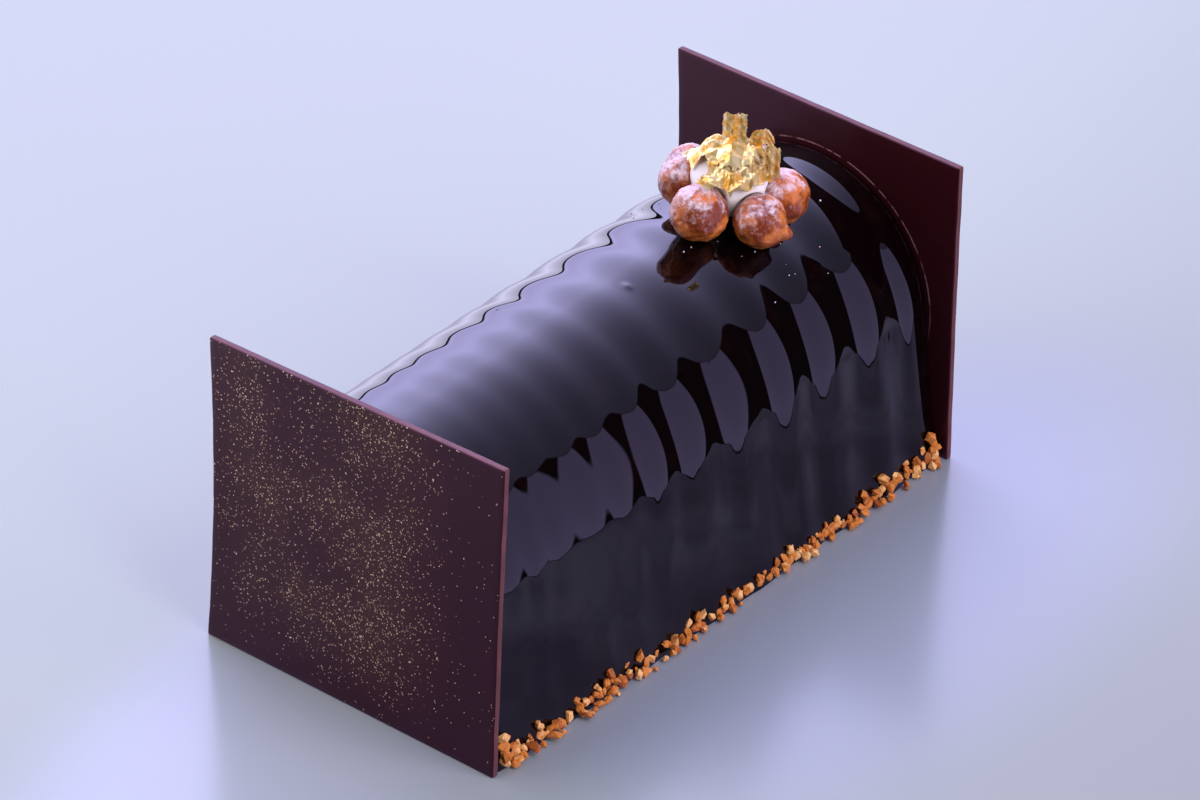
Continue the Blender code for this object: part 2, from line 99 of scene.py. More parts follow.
class Field:
    """A socket of a node tree. Signs between fields add Math nodes, and node() adds any other node."""

    def __init__(self, tree, socket=None):
        self.tree = tree
        self.socket = socket

    def node(self, kind, settings, sockets, output=0):
        made = self.tree.nodes.new(kind)
        for name, value in settings.items():
            setattr(made, name, value)
        for name, value in sockets.items():
            if isinstance(value, Field):
                self.tree.links.new(value.socket, made.inputs[name])
            else:
                made.inputs[name].default_value = value
        return Field(self.tree, made.outputs[output])

    def maths(self, operation, *values):
        return self.node("ShaderNodeMath", {"operation": operation}, dict(enumerate(values)))

    def __add__(self, other):
        return self.maths("ADD", self, other)

    def __radd__(self, other):
        return self.maths("ADD", other, self)

    def __sub__(self, other):
        return self.maths("SUBTRACT", self, other)

    def __rsub__(self, other):
        return self.maths("SUBTRACT", other, self)

    def __mul__(self, other):
        return self.maths("MULTIPLY", self, other)

    def __rmul__(self, other):
        return self.maths("MULTIPLY", other, self)

    def __abs__(self):
        return self.maths("ABSOLUTE", self)

    def rise(self, start, end):
        """0 below start, 1 above end, and a smooth step between. start may be the larger one."""
        settings = {"interpolation_type": "SMOOTHSTEP"}
        return self.node("ShaderNodeMapRange", settings, {"Value": self, "From Min": start, "From Max": end})

    def blend(self, low, high):
        """A colour between two, by this field."""
        low = low if isinstance(low, Field) else (*low, 1)
        high = high if isinstance(high, Field) else (*high, 1)
        return self.node("ShaderNodeMix", {"data_type": "RGBA"}, {0: self, 6: low, 7: high}, output=2)

    def noise(self, vector, scale, detail=2.0, roughness=0.5, distortion=0.0):
        sockets = {"Vector": vector, "Scale": scale, "Detail": detail, "Roughness": roughness}
        sockets["Distortion"] = distortion
        return self.node("ShaderNodeTexNoise", {}, sockets)

    def stretched(self, vector, scale):
        """The same place with each axis scaled, for patterns longer one way than another."""
        return self.node("ShaderNodeVectorMath", {"operation": "MULTIPLY"}, {0: vector, 1: scale})

    def distance(self, vector, centre):
        return self.node("ShaderNodeVectorMath", {"operation": "DISTANCE"}, {0: vector, 1: centre}, output=1)

    def bump(self, height, distance, strength=1.0):
        sockets = {"Height": height, "Distance": distance, "Strength": strength}
        return self.node("ShaderNodeBump", {}, sockets)


def finish_of(name, **constants):
    """A Principled material with its constant sockets set, with a field to build on and its shader."""
    material = bpy.data.materials.new(name)
    material.use_nodes = True
    shader = material.node_tree.nodes["Principled BSDF"]
    for socket, value in constants.items():
        shader.inputs[socket.replace("_", " ")].default_value = value
    return material, Field(material.node_tree), shader


def object_place(field):
    return field.node("ShaderNodeTexCoord", {}, {}, output=3)


def axes_of(vector):
    """The X, Y and Z of a vector, each a field of its own."""
    outputs = vector.node("ShaderNodeSeparateXYZ", {}, {0: vector}).socket.node.outputs
    return [Field(vector.tree, socket) for socket in outputs]


def feed(shader, **fields):
    for socket, field in fields.items():
        field.tree.links.new(field.socket, shader.inputs[socket.replace("_", " ")])


def piece_from(name, bm, material, sharp=None):
    """Makes a smooth-shaded piece of the mesh, which rides on the cake and takes the given finish."""
    mesh = bpy.data.meshes.new(name)
    bm.to_mesh(mesh)
    bm.free()
    mesh.materials.append(material)
    mesh.shade_smooth()
    if sharp is not None:
        mesh.set_sharp_from_angle(angle=math.radians(sharp))
    piece = bpy.data.objects.new(name, mesh)
    bpy.context.scene.collection.objects.link(piece)
    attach(piece, "root")
    return piece


def rib_at(along):
    """How far the glaze swells at a distance from the front face: none in a groove, a crest between two."""
    growth = min(1.0, max(0.0, (along - RIB_START) / (RIB_FULL - RIB_START)))
    depth = RIB_FRONT + (RIB_REAR - RIB_FRONT) * growth**2 * (3 - 2 * growth)
    for start, end in zip(GROOVES, GROOVES[1:]):
        if start <= along <= end:
            u = (along - start) / (end - start)
            return depth * (1 - math.cos(2 * math.pi * u)) / 2
    return 0.0


def end_inset(y):
    """How far the rounded end of the glaze is drawn in at this world Y."""
    u = (LOG_HALF - abs(y)) / END_ROUND
    if u >= 1:
        return 0.0
    return END_INSET * (1 - math.sqrt(max(0.0, 1 - (1 - u) ** 2)))


def log_radius(y, along):
    """The arc's radius at a world Y. The ribs are read a little ahead or behind it, where they sway."""
    through = (y + LOG_HALF) / (2 * LOG_HALF)
    swell = SWELL * math.sin(math.pi * min(1.0, through * 0.85 + 0.1)) - SWELL
    return LOG_RADIUS + swell + rib_at(along) - end_inset(y)


def foot_flare(z):
    """How far the glaze that has pooled at the foot stands out at a height."""
    return FOOT_FLARE * max(0.0, 1 - z / FLARE_TOP) ** 1.5


def glaze_detail(angle, y, z):
    """Relief finer than the ribs, along the normal: slow unevenness, streaks down the sides and pimples."""
    along = y - FRONT_FACE
    slow = noise.noise(Vector((y / HANDMADE_WAVE, angle * 1.3, 3.0)))
    streak = noise.noise(Vector((y / STREAK_WAVE[0], angle * 0.55, z / STREAK_WAVE[1])))
    streak += FINE_STREAK * noise.noise(Vector((y / FINE_STREAK_WAVE[0], 4.0, z / FINE_STREAK_WAVE[1])))
    low = max(0.0, 1 - abs(math.sin(angle)) * 1.15) + max(0.0, 1 - z / STREAK_TOP) * 0.5
    lift = HANDMADE * slow + STREAK * streak * (0.1 + low)
    for degrees, place, radius, height in PIMPLES:
        off = math.hypot((angle - math.radians(degrees)) * LOG_RADIUS, along - place) / radius
        if off < 2.5:
            lift += height * math.exp(-2.2 * off**2)
    edge = min(1.0, (LOG_HALF - abs(y)) / END_ROUND)
    return lift * edge


def glaze_point(u, v):
    """Where the glaze lies at u from the right foot (0) to the left foot (1), and v from front to rear."""
    y = -LOG_HALF + 2 * LOG_HALF * v
    side_length = (ARC_CENTRE_Z + LOG_RADIUS * math.sin(SIDE_LEAN)) / math.cos(SIDE_LEAN)
    arc_length = LOG_RADIUS * (math.pi - 2 * SIDE_LEAN)
    path = u * (2 * side_length + arc_length)
    angle = SIDE_LEAN + (path - side_length) / LOG_RADIUS
    angle = min(max(angle, SIDE_LEAN), math.pi - SIDE_LEAN)
    sway = SWAY * noise.noise(Vector((y / SWAY_WAVE[0], path / SWAY_WAVE[1], 0.5)))
    radius = log_radius(y, y - FRONT_FACE + sway)
    normal = Vector((math.cos(angle), 0, math.sin(angle)))
    point = Vector((0, y, ARC_CENTRE_Z)) + normal * radius
    down = max(0.0, side_length - path, path - side_length - arc_length)
    if down:
        whole = point.z / math.cos(SIDE_LEAN)
        down = min(down * whole / side_length, whole)
        point += Vector((math.copysign(math.sin(SIDE_LEAN), normal.x), 0, -math.cos(SIDE_LEAN))) * down
        point.x += math.copysign(foot_flare(point.z), normal.x)
    point += normal * glaze_detail(angle, y, point.z)
    point.z = max(point.z, 0.0)
    return point


glaze_bm = bmesh.new()
bmesh.ops.create_grid(glaze_bm, x_segments=GLAZE_AROUND, y_segments=GLAZE_ALONG, size=0.5)
for vert in glaze_bm.verts:
    vert.co = glaze_point(vert.co.x + 0.5, vert.co.y + 0.5)
feet = [e for e in glaze_bm.edges if e.is_boundary and abs(e.verts[0].co.y - e.verts[1].co.y) > 1e-6]
bmesh.ops.bridge_loops(glaze_bm, edges=feet)
ends = [edge for edge in glaze_bm.edges if edge.is_boundary]
bmesh.ops.holes_fill(glaze_bm, edges=ends, sides=0)
bmesh.ops.recalc_face_normals(glaze_bm, faces=glaze_bm.faces)

glaze_finish, f, shader = finish_of("mirror_glaze", IOR=1.5, Specular_IOR_Level=0.5)
place = object_place(f)
cloud = f.noise(place, 26.0, detail=3.0)
brown = f.noise(place, 95.0, detail=2.0, distortion=0.6).rise(0.52, 0.74)
feed(
    shader,
    Base_Color=(brown * cloud).blend((0.0018, 0.0005, 0.0008), (0.0070, 0.0018, 0.0016)),
    Roughness=f.noise(place, 340.0).rise(0.4, 0.8) * 0.02 + 0.018,
    Normal=f.bump(f.noise(place, 130.0, detail=1.0), 0.00002, 0.5),
)
glaze = piece_from("glaze", glaze_bm, glaze_finish, sharp=50)
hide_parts("cake_log")

# Chopped nuts: caramelised hazelnut pieces of three to four millimetres, pressed into the soft glaze in a
# rough row along both feet. Some are coated in dark caramel, others show the pale cut kernel.
CHIPS_IN_ROW = 60
# Clumps along each foot: middle and half length from the front face, and number of pieces
CHIP_CLUMPS = [
    (15 * MM, 9 * MM, 5),
    (53 * MM, 8 * MM, 6),
    (122 * MM, 6 * MM, 3),
    (158 * MM, 8 * MM, 4),
    (178 * MM, 8 * MM, 5),
]
CHIPS_IN_CORNER = 5
CORNER_DEPTH = (2.6 * MM, 4.2 * MM)
CORNER_OUT = (0.2 * MM, 1.6 * MM)
CORNER_RISE = 8.0 * MM
CHIP_RADIUS = (1.5 * MM, 2.25 * MM)
CHIP_POINTS = 9
CHIP_ROUGH = 0.3
CHIP_OUT = (-0.8 * MM, 0.5 * MM)
CLUMP_OUT = (1.2 * MM, 2.7 * MM)
CHIP_LIFT = 0.15 * MM
CHIP_SPAN = LOG_HALF - 2.6 * MM
CHIP_SEED = 11
CHIP_PIT = 0.12 * MM
CHIP_PIT_SPREAD = 0.6 * MM
# Smaller crumbs of the same nuts at each foot: two in three lie on others, the third a little further out
CRUMBS = 120
CRUMB_SEED = 5
CRUMB_RADIUS = (0.9 * MM, 1.9 * MM)
CRUMB_OUT = (-0.1 * MM, 0.8 * MM)
CRUMB_ASIDE = 1.6 * MM


def side_x(y, z):
    """The right-hand side's distance from the middle at a height below the arc."""
    radius = log_radius(y, y - FRONT_FACE)
    tangent_z = ARC_CENTRE_Z + radius * math.sin(SIDE_LEAN)
    return radius * math.cos(SIDE_LEAN) + (tangent_z - z) * math.tan(SIDE_LEAN) + foot_flare(z)


def chip_places(side, rng):
    """Centre and radius of each chopped piece at one foot: the row, its clumps and a heap in each corner."""
    reach = LOG_HALF - CHIP_RADIUS[1] * 1.5
    for i in range(CHIPS_IN_ROW):
        radius = rng.uniform(*CHIP_RADIUS)
        y = -reach + 2 * reach * (i + rng.uniform(0.2, 0.8)) / CHIPS_IN_ROW
        z = radius * rng.uniform(0.8, 1.1)
        yield Vector((side * (side_x(y, z) + rng.uniform(*CHIP_OUT)), y, z)), radius
    for middle, half, count in CHIP_CLUMPS:
        for i in range(count):
            radius = rng.uniform(*CHIP_RADIUS)
            y = FRONT_FACE + middle + half * (2 * (i + rng.uniform(0.2, 0.8)) / count - 1)
            z = radius * rng.uniform(0.8, 1.1)
            x = side_x(y, z) + rng.uniform(*CLUMP_OUT)
            if i % 2:
                z += CHIP_RADIUS[1] * rng.uniform(1.0, 1.7)
                x = side_x(y, z) + rng.uniform(*CHIP_OUT)
            yield Vector((side * x, y, z)), radius
    for end in (-1, 1):
        for i in range(CHIPS_IN_CORNER):
            radius = rng.uniform(*CHIP_RADIUS)
            y = end * (LOG_HALF - rng.uniform(*CORNER_DEPTH))
            z = radius + CORNER_RISE * i / CHIPS_IN_CORNER
            x = side_x(y, z) + rng.uniform(*CORNER_OUT)
            yield Vector((side * x, y, z)), radius


def add_chip(bm, centre, radius, rng, tone):
    """One chopped piece: the hull of a few points on a stretched ball, marked with its middle and tone."""
    turn = Euler([rng.uniform(0, math.pi) for _ in range(3)]).to_matrix()
    stretch = Vector((rng.uniform(1.0, 1.5), rng.uniform(0.75, 1.05), rng.uniform(0.65, 0.95)))
    spiral = rng.uniform(0, 2 * math.pi)
    corners = []
    for k in range(CHIP_POINTS):
        height = 1 - 2 * (k + 0.5) / CHIP_POINTS
        angle = spiral + k * math.pi * (3 - math.sqrt(5))
        flat = math.sqrt(1 - height**2)
        push = radius * (1 - rng.uniform(0, CHIP_ROUGH))
        way = Vector((flat * math.cos(angle), flat * math.sin(angle), height)) * stretch
        point = turn @ way * push + centre
        point.z = max(point.z, CHIP_LIFT * rng.uniform(1, 2))
        corner = bm.verts.new(point)
        corner[middle_layer] = centre
        corner[tone_layer] = tone
        corners.append(corner)
    hull = bmesh.ops.convex_hull(bm, input=corners)
    spare = set(hull["geom_interior"]) | set(hull["geom_unused"])
    bmesh.ops.delete(bm, geom=list(spare), context="VERTS")


chips_bm = bmesh.new()
tone_layer = chips_bm.verts.layers.float.new("tone")
middle_layer = chips_bm.verts.layers.float_vector.new("middle")
chip_rng = random.Random(CHIP_SEED)
crumb_rng = random.Random(CRUMB_SEED)
for side in (1, -1):
    for centre, radius in chip_places(side, chip_rng):
        centre.y = min(max(centre.y, -CHIP_SPAN), CHIP_SPAN)
        add_chip(chips_bm, centre, radius, chip_rng, crumb_rng.random())
for number in range(2 * CRUMBS):
    side = 1 if number % 2 else -1
    radius = crumb_rng.uniform(*CRUMB_RADIUS)
    y = crumb_rng.uniform(-CHIP_SPAN, CHIP_SPAN)
    z = radius * 0.8 + (crumb_rng.uniform(1.0, 3.2) * MM if number % 3 else 0.0)
    x = side_x(y, z) + crumb_rng.uniform(*CRUMB_OUT) + (0.0 if number % 3 else CRUMB_ASIDE)
    add_chip(chips_bm, Vector((side * x, y, z)), radius, crumb_rng, crumb_rng.random())
bmesh.ops.recalc_face_normals(chips_bm, faces=chips_bm.faces)
bmesh.ops.subdivide_edges(chips_bm, edges=chips_bm.edges, cuts=3, use_grid_fill=True, smooth=0.07)
for vert in chips_bm.verts:
    out = (vert.co - vert[middle_layer]).normalized()
    spot = vert.co / CHIP_PIT_SPREAD
    vert.co += out * CHIP_PIT * (noise.noise(spot) + 0.6 * noise.noise(spot * 2.3) - 0.2)
    vert.co.z = max(vert.co.z, 0.1 * CHIP_LIFT)

chip_finish, f, shader = finish_of("caramelised_chips", Subsurface_Weight=0.12, Subsurface_Scale=0.0012)
shader.inputs["Subsurface Radius"].default_value = (1.0, 0.45, 0.2)
place = object_place(f)
tone = f.node("ShaderNodeAttribute", {"attribute_name": "tone"}, {}, output=2)
patch = f.noise(place, 900.0, detail=3.0)
pale = (tone + (patch - 0.5)).rise(0.66, 0.95)
dark = (tone + (patch - 0.5) * 0.8).rise(0.24, 0.02)
coat = pale.blend((0.62, 0.205, 0.034), (0.86, 0.47, 0.17))
feed(
    shader,
    Base_Color=dark.blend(coat, (0.40, 0.11, 0.022)),
    Roughness=f.noise(place, 1400.0).rise(0.3, 0.7) * 0.3 + 0.28,
    Normal=f.bump(f.noise(place, 1700.0, detail=4.0), 0.00025, 0.8),
)
chips = piece_from("chopped_nuts", chips_bm, chip_finish, sharp=32)
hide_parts("cake_log")

# Chocolate plates: thin sheets of tempered dark chocolate, cut by hand a little out of square. Each stands
# on its lower edge and sticks to the soft glaze at one end. The front one is sprayed with fine gold specks.
PLATE_HALF = 48.3 * MM
FRONT_PLATE = {
    "bottom": (-PLATE_HALF, 46.5 * MM),
    "top": (-46.6 * MM, PLATE_HALF),
    "height": (91.0 * MM, 92.8 * MM),
    "bow": (1.5 * MM, 0.3 * MM),
}
REAR_PLATE = {
    "bottom": (-47.9 * MM, PLATE_HALF),
    "top": (-47.6 * MM, 45.9 * MM),
    "height": (91.2 * MM, 90.4 * MM),
    "bow": (1.8 * MM, 0.3 * MM),
}
PLATE_CELLS = 48
CUT_ROUND = 0.5 * MM
CUT_WAVE = 0.12 * MM
CUT_WAVE_LENGTH = 9 * MM
FRONT_CHOCOLATE = (0.025, 0.0038, 0.0064)
REAR_CHOCOLATE = (0.030, 0.0044, 0.0064)
# Cut edges: paler chocolate where the plate is cut, and partly a painted highlight along those edges
CUT_EDGE_AND_HIGHLIGHT = (0.16, 0.060, 0.058)
# A thin painted highlight on the rear plate, where the rim of the log's glaze meets it
SEAM_MIDDLE = 40.0 * MM
SEAM_RADIUS = 39.8 * MM
SEAM_WIDTH = 0.3 * MM
SEAM_HIGHLIGHT = (0.30, 0.15, 0.15)
# Layers of gold specks: cells to a metre, radius as a share of a cell, share of cells that hold one, turn
SPECKS = (
    (950.0, 0.16, 0.7, 0.0),
    (1350.0, 0.19, 0.8, 0.7),
    (620.0, 0.11, 0.6, 1.9),
    (2000.0, 0.25, 0.8, 2.6),
)
GOLD_DARK = (0.34, 0.19, 0.09)
GOLD_BRIGHT = (1.0, 0.82, 0.52)
GOLD_MIST = (0.55, 0.33, 0.16)


def plate_point(shape, u, v):
    """A place on a plate's outline face, u from its left to its right edge and v from foot to top."""
    height = shape["height"][0] * (1 - u) + shape["height"][1] * u
    left = shape["bottom"][0] * (1 - v) + shape["top"][0] * v + shape["bow"][0] * math.sin(math.pi * v)
    right = shape["bottom"][1] * (1 - v) + shape["top"][1] * v - shape["bow"][1] * math.sin(math.pi * v)
    x = left * (1 - u) + right * u
    z = height * v
    rough = CUT_WAVE * noise.noise(Vector((x / CUT_WAVE_LENGTH, 2.0, z / CUT_WAVE_LENGTH)))
    if v > 0:
        z += rough * v
    x += rough * (2 * abs(u - 0.5)) ** 6
    return x, z


def make_plate(name, shape, y_outer, inward, material, node):
    """A plate from its outer face, its thickness drawn inwards and its cut edges a little rounded."""
    bm = bmesh.new()
    bmesh.ops.create_grid(bm, x_segments=PLATE_CELLS, y_segments=PLATE_CELLS, size=0.5)
    for vert in bm.verts:
        x, z = plate_point(shape, vert.co.x + 0.5, vert.co.y + 0.5)
        vert.co = Vector((x, y_outer, z))
    made = bmesh.ops.extrude_face_region(bm, geom=list(bm.faces))
    moved = [item for item in made["geom"] if isinstance(item, bmesh.types.BMVert)]
    bmesh.ops.translate(bm, vec=(0, inward * PLATE_THICK, 0), verts=moved)
    bmesh.ops.recalc_face_normals(bm, faces=bm.faces)
    rim = [edge for edge in bm.edges if edge.calc_face_angle(0) > math.radians(60)]
    bmesh.ops.bevel(
        bm,
        geom=rim,
        offset=CUT_ROUND,
        affect="EDGES",
        segments=4,
        profile=0.5,
        material=-1,
        clamp_overlap=True,
    )
    plate = piece_from(name, bm, material, sharp=60)
    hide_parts(node)


def seam_highlight_ring(place, height, scuff):
    """A broken thin ring in the outline of the log's rim, above its foot, where a highlight is painted."""
    flat = place.stretched(place, (1.0, 0.0, 1.0))
    off = place.distance(flat, (0, 0, SEAM_MIDDLE)) - SEAM_RADIUS
    return abs(off).rise(SEAM_WIDTH, 0.4 * SEAM_WIDTH) * height.rise(0.03, 0.05) * scuff.rise(0.40, 0.55)


def sprayed_specks(place, amount):
    """Layers of turned cells, each cell with a speck of its own size or none. Amount raises their number."""
    specks = None
    for scale, size, share, turn in SPECKS:
        sockets = {"Vector": place, "Angle": turn}
        turned = place.node("ShaderNodeVectorRotate", {"rotation_type": "Y_AXIS"}, sockets)
        flat = place.stretched(turned, (1.0, 0.0, 1.0))
        cells = place.node("ShaderNodeTexVoronoi", {}, {"Vector": flat, "Scale": scale})
        drawn = Field(place.tree, cells.socket.node.outputs["Color"])
        draw = place.node("ShaderNodeSeparateColor", {}, {0: drawn})
        kept = draw.maths("LESS_THAN", draw, amount * share)
        bigness = Field(place.tree, draw.socket.node.outputs[1])
        spot = cells.maths("LESS_THAN", cells, (0.35 + bigness) * size) * kept
        specks = spot if specks is None else specks.maths("MAXIMUM", specks, spot)
    return specks


def chocolate_finish(name, face, gold):
    """Tempered chocolate: satin, faintly clouded, a paler cut edge with a painted highlight, and gold specks
    if asked.
    """
    material, f, shader = finish_of(name, IOR=1.40, Specular_Tint=(0.82, 0.52, 0.74, 1.0))
    place = object_place(f)
    across, _, height = axes_of(place)
    facing = axes_of(f.node("ShaderNodeNewGeometry", {}, {}, output=1))[1]
    cut = abs(facing).rise(0.75, 0.35)
    front = facing.rise(-0.6, -0.9)
    cloud = f.noise(place, 24.0, detail=4.0, roughness=0.6)
    scuff = f.noise(f.stretched(place, (1.0, 1.0, 0.35)), 420.0, detail=3.0)
    colour = cloud.blend(tuple(c * 0.85 for c in face), tuple(c * 1.2 for c in face))
    # The cut edges are paler chocolate, and partly a painted highlight
    edge = (cloud * scuff).rise(0.1, 0.5).blend(tuple(c * 0.6 for c in CUT_EDGE_AND_HIGHLIGHT), CUT_EDGE_AND_HIGHLIGHT)
    colour = cut.blend(colour, edge)
    roughness = cloud * 0.12 + scuff * 0.08 + 0.24 + cut * 0.15
    if gold:
        middle = across.rise(-0.058, -0.018) * across.rise(0.034, 0.004)
        drift = f.noise(place, 30.0, detail=3.0).rise(0.36, 0.62)
        amount = (0.10 + 0.90 * middle) * (0.24 + 0.76 * drift) * height.rise(-0.005, 0.03)
        specks = sprayed_specks(place, amount) * front
        glint = f.noise(place, 700.0, detail=2.0).rise(0.3, 0.7)
        colour = (front * amount * 0.05).blend(colour, GOLD_MIST)
        colour = specks.blend(colour, glint.blend(GOLD_DARK, GOLD_BRIGHT))
        roughness = roughness + specks * 0.05
        feed(shader, Metallic=specks * 0.3)
    else:
        # Painted highlight: a thin pinkish ring on the rear plate along the log's rim
        colour = (front * seam_highlight_ring(place, height, scuff)).blend(colour, SEAM_HIGHLIGHT)
    relief = f.bump(cloud * 2.0 + scuff * 0.15, 0.00012, 0.5)
    feed(shader, Base_Color=colour, Roughness=roughness, Normal=relief)
    return material


front_chocolate = chocolate_finish("speckled_chocolate", FRONT_CHOCOLATE, gold=True)
rear_chocolate = chocolate_finish("plain_chocolate", REAR_CHOCOLATE, gold=False)
make_plate("front_chocolate_plate", FRONT_PLATE, FRONT_FACE, 1, front_chocolate, "front_plate")
make_plate("rear_chocolate_plate", REAR_PLATE, REAR_FACE, -1, rear_chocolate, "rear_plate")

# Candied hazelnuts: whole nuts in a lumpy coat of caramel, dusted with sugar that has settled on their upper
# sides. Six of them stand in a ring on the glaze, stuck down by their own caramel.
RING_X = 2.8 * MM
RING_Y = FRONT_FACE + 147.6 * MM
# Each nut: how far to the right it stands, how far from the front face, and its radius
NUTS = [
    (4.0 * MM, 131.6 * MM, 8.1 * MM),
    (13.8 * MM, 142.7 * MM, 7.6 * MM),
    (11.7 * MM, 155.4 * MM, 7.9 * MM),
    (0.0 * MM, 161.3 * MM, 6.8 * MM),
    (-12.6 * MM, 152.9 * MM, 6.6 * MM),
    (-8.0 * MM, 143.4 * MM, 7.2 * MM),
]
NUT_LUMP = 0.07
NUT_LEVEL = 6
NUT_SINK = 0.1 * MM
# A drop of caramel has set to a point on the second nut
TIP_NUT = 1
TIP_WAY = Vector((0.86, 0.39, -0.33))
TIP_LENGTH = 1.9 * MM
TIP_SPREAD = math.cos(math.radians(24))


def nut_centre(number):
    """Middle of a nut that rests on the round top of the log, and the way out of the log there."""
    x, along, radius = NUTS[number]
    outward = Vector((x, 0, math.sqrt(LOG_RADIUS**2 - x**2))).normalized()
    return Vector((0, FRONT_FACE + along, ARC_CENTRE_Z)) + outward * (LOG_RADIUS + radius), outward


def press_flat(bm, number):
    """Flattens a nut where its neighbours press on it, just before the plane between the two."""
    centre, _ = nut_centre(number)
    radius = NUTS[number][2]
    for other in range(len(NUTS)):
        if other == number:
            continue
        apart = nut_centre(other)[0] - centre
        reach = (apart.length_squared + radius**2 - NUTS[other][2] ** 2) / (2 * apart.length)
        way = apart.normalized()
        for vert in bm.verts:
            past = (vert.co - centre).dot(way) - reach + GAP / 3
            if past > 0:
                vert.co -= way * past


nut_finish, f, shader = finish_of("candied_hazelnut", Subsurface_Weight=0.2, Subsurface_Scale=0.002)
shader.inputs["Subsurface Radius"].default_value = (1.0, 0.35, 0.15)
place = object_place(f)
crust = f.node("ShaderNodeAttribute", {"attribute_name": "crust"}, {}, output=2)
blotch = f.noise(place, 170.0, detail=4.0, distortion=0.5)
grain = f.noise(place, 2100.0, detail=3.0, roughness=0.65)
speckle = f.noise(place, 820.0, detail=3.0, roughness=0.6)
thin = (crust + (speckle - 0.5) * 1.5 + (grain - 0.5) * 1.3).rise(0.12, 0.62)
thick = (crust + (speckle - 0.5) * 1.1 + (grain - 0.5) * 0.9).rise(0.48, 0.95)
caramel = blotch.rise(0.36, 0.62).blend((0.66, 0.190, 0.034), (0.22, 0.040, 0.010))
dusty = (thin * 0.36).blend(caramel, (0.66, 0.46, 0.50))
feed(
    shader,
    Base_Color=(thick * 0.92).blend(dusty, grain.blend((0.55, 0.38, 0.39), (0.90, 0.78, 0.79))),
    Roughness=thick * 0.4 + thin * 0.15 + blotch * 0.15 + 0.10,
    Normal=f.bump(grain * thin * 0.8 + f.noise(place, 430.0, detail=2.0) * 0.6, 0.0003, 0.6),
)
for number in range(len(NUTS)):
    radius = NUTS[number][2]
    rng = random.Random(CHIP_SEED + number + 1)
    offset = Vector([rng.uniform(0, 50) for _ in range(3)])
    bm = bmesh.new()
    bmesh.ops.create_icosphere(bm, subdivisions=NUT_LEVEL, radius=1.0)
    crust_layer = bm.verts.layers.float.new("crust")
    centre, outward = nut_centre(number)
    lowest = radius
    for vert in bm.verts:
        way = vert.co.copy()
        lump = NUT_LUMP * noise.noise(way * 1.6 + offset)
        ridge = 0.045 * abs(noise.noise(way * 2.7 + offset)) + 0.018 * noise.noise(way * 6 + offset)
        patchy = noise.noise(way * 2.0 + offset * 2) + 0.8 * noise.noise(way * 5.5 + offset)
        dusted = min(1.0, max(0.0, 0.76 * way.z - 0.20 * way.x + 0.62 * patchy))
        flake = 0.016 * noise.noise(way * 17 + offset) + 0.009 * noise.noise(way * 39 + offset)
        flake *= 0.25 + dusted
        vert.co = way * radius * (1 - NUT_LUMP + lump + ridge + flake)
        if number == TIP_NUT:
            along_tip = (way.dot(TIP_WAY.normalized()) - TIP_SPREAD) / (1 - TIP_SPREAD)
            vert.co += TIP_WAY * TIP_LENGTH * max(0.0, along_tip) ** 2
        vert[crust_layer] = dusted
        point = centre + vert.co
        glaze_there = log_radius(point.y, point.y - FRONT_FACE)
        lowest = min(lowest, math.hypot(point.x, point.z - ARC_CENTRE_Z) - glaze_there)
    bmesh.ops.translate(bm, vec=centre - outward * (lowest + NUT_SINK), verts=bm.verts)
    press_flat(bm, number)
    nut = piece_from(f"candied_nut_{number + 1}", bm, nut_finish)
    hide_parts(f"nut_{number + 1}")

# Sugar grains: coarse grains that fell off the candied nuts while the ring was set down. They lie on the
# glaze round it, most of them close by.
SUGAR_SPREAD = (14.0 * MM, 30.0 * MM)
SUGAR_GRAINS = 38
SUGAR_SEED = 23
SUGAR_RADIUS = (0.10 * MM, 0.27 * MM)
sugar_look = {"Roughness": 0.4, "Subsurface_Weight": 0.3, "Subsurface_Scale": 0.001}
sugar_finish, f, shader = finish_of("sugar_grains", **sugar_look)
grain = f.noise(object_place(f), 2200.0)
feed(shader, Base_Color=grain.blend((0.70, 0.58, 0.60), (0.90, 0.86, 0.92)))
grains_bm = bmesh.new()
rng = random.Random(SUGAR_SEED)
for _ in range(SUGAR_GRAINS):
    turn = rng.uniform(0, 2 * math.pi)
    off = SUGAR_SPREAD[0] + (SUGAR_SPREAD[1] - SUGAR_SPREAD[0]) * rng.random() ** 2
    x = RING_X + off * math.cos(turn)
    y = min(RING_Y + off * math.sin(turn), LOG_HALF - END_ROUND)
    radius = rng.uniform(*SUGAR_RADIUS)
    out = Vector((x, 0, math.sqrt(LOG_RADIUS**2 - x**2))).normalized()
    middle = Vector((0, y, ARC_CENTRE_Z)) + out * (log_radius(y, y - FRONT_FACE) + radius * 0.5)
    made = bmesh.ops.create_icosphere(grains_bm, subdivisions=1, radius=radius)
    for vert in made["verts"]:
        vert.co = vert.co * rng.uniform(0.75, 1.2) + middle
piece_from("sugar_grains", grains_bm, sugar_finish)

# Cream: one smooth dollop of whipped cream, set down in the ring of nuts while soft, so that it sinks in
# between them and holds the gold leaf on top.
CREAM_RADIUS = 10.6 * MM
CREAM_BASE = 80.8 * MM
CREAM_TOP = 98.0 * MM
CREAM_FOOT = 0.62
CREAM_DOME = 2.4
CREAM_CLEAR = 0.12 * MM


def cream_radius(u):
    """The dollop's radius at u from its foot (0) to its top (1)."""
    foot = CREAM_FOOT + (1 - CREAM_FOOT) * math.sin(math.pi / 2 * min(1.0, u / 0.5))
    return CREAM_RADIUS * foot * math.sqrt(max(0.0, 1 - max(0.0, (u - 0.5) / 0.5) ** CREAM_DOME))


